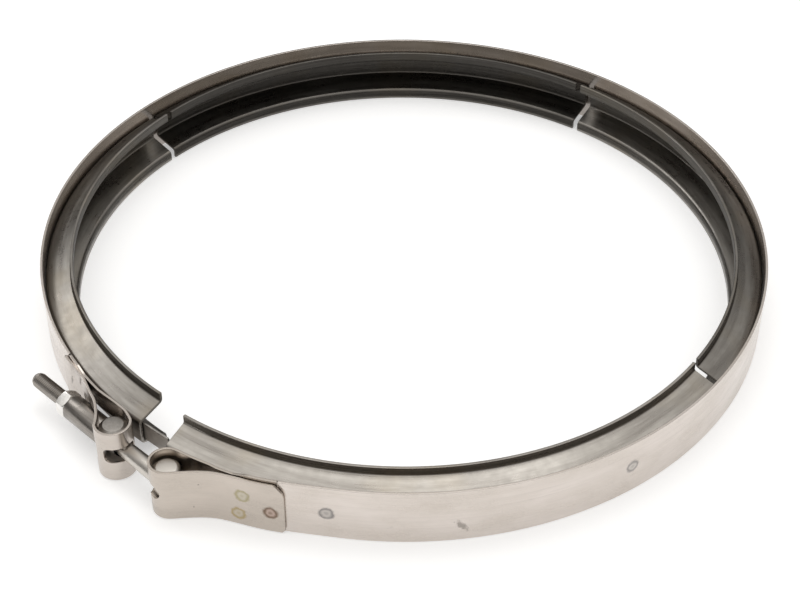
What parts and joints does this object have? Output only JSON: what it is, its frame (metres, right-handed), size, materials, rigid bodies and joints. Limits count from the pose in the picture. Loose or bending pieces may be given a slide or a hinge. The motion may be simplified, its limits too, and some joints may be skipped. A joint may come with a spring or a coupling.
{
  "type": "v_band_clamp",
  "caption": "V-band clamp in stainless steel: sheet band with folded loop ends, V retainer segments inside, T-bolt with sleeve and hex nut closing the gap",
  "frame": {"origin": "centre of the bounding box at the height of the band's lower edge, on which the clamp lies", "axes": "+Z is the axis of the ring, pointing up when the clamp lies flat. -Y is the front, where the picture was taken from, and +X is to the right, so the bolt sits at the front left."},
  "size_m": [0.306, 0.306, 0.0256],
  "materials": {
    "band_stainless": "polished",
    "retainer_stainless": "satin",
    "bridge_stainless": "satin",
    "pin_steel": "satin",
    "bolt_steel": "satin",
    "sleeve_steel": "satin",
    "nut_plated": "polished"
  },
  "bodies": {
    "band_far": {"band_section_2": "band_stainless", "v_retainer_2": "retainer_stainless"},
    "band_left": {"band_section_1": "band_stainless", "v_retainer_1": "retainer_stainless", "gap_bridge": "bridge_stainless"},
    "band_right": {"band_section_3": "band_stainless", "v_retainer_3": "retainer_stainless"},
    "band_front": {"band_section_4": "band_stainless", "v_retainer_4": "retainer_stainless"},
    "trunnion": {"trunnion": "pin_steel"},
    "t_bolt": {"t_bolt": "bolt_steel"},
    "sleeve": {"spacer_sleeve": "sleeve_steel"},
    "nut": {"hex_nut": "nut_plated"}
  },
  "joints": [
    {"name": "tighten", "type": "slide", "parent": "t_bolt", "child": "sleeve", "axis": [0.7054, -0.7088, 0], "range_m": [-0.01, 0.004]},
    {"name": "nut_spin", "type": "hinge", "parent": "sleeve", "child": "nut", "pos_m": [-0.1313, -0.09177, 0.01225], "axis": [0.7054, -0.7088, 0], "range_deg": [-3971.09, 1588.44]},
    {"name": "bend_left", "type": "hinge", "parent": "band_far", "child": "band_left", "pos_m": [-0.11797, 0.09656, 0.01225], "axis": [0, 0, 1], "range_deg": [-0.91, 0.36]},
    {"name": "bend_right", "type": "hinge", "parent": "band_far", "child": "band_right", "pos_m": [0.09153, 0.12191, 0.01225], "axis": [0, 0, -1], "range_deg": [-0.91, 0.36]},
    {"name": "bend_front", "type": "hinge", "parent": "band_right", "child": "band_front", "pos_m": [0.12286, -0.09025, 0.01225], "axis": [0, 0, -1], "range_deg": [-0.91, 0.36]},
    {"name": "bolt_swing", "type": "hinge", "parent": "band_front", "child": "t_bolt", "pos_m": [-0.08872, -0.13456, 0.01225], "axis": [0, 0, -1], "range_deg": [-0.77, 0.31]},
    {"name": "trunnion_turn", "type": "hinge", "parent": "band_left", "child": "trunnion", "pos_m": [-0.11094, -0.11223, 0.01225], "axis": [0, 0, -1], "range_deg": [-3.49, 1.4]}
  ],
  "couplings": [
    {"joint": "nut_spin", "follows": "tighten", "rad_per_m": 6927.4},
    {"joint": "bend_left", "follows": "tighten", "rad_per_m": 1.582},
    {"joint": "bend_right", "follows": "tighten", "rad_per_m": 1.582},
    {"joint": "bend_front", "follows": "tighten", "rad_per_m": 1.582},
    {"joint": "bolt_swing", "follows": "tighten", "rad_per_m": 1.344},
    {"joint": "trunnion_turn", "follows": "tighten", "rad_per_m": 6.09}
  ]
}
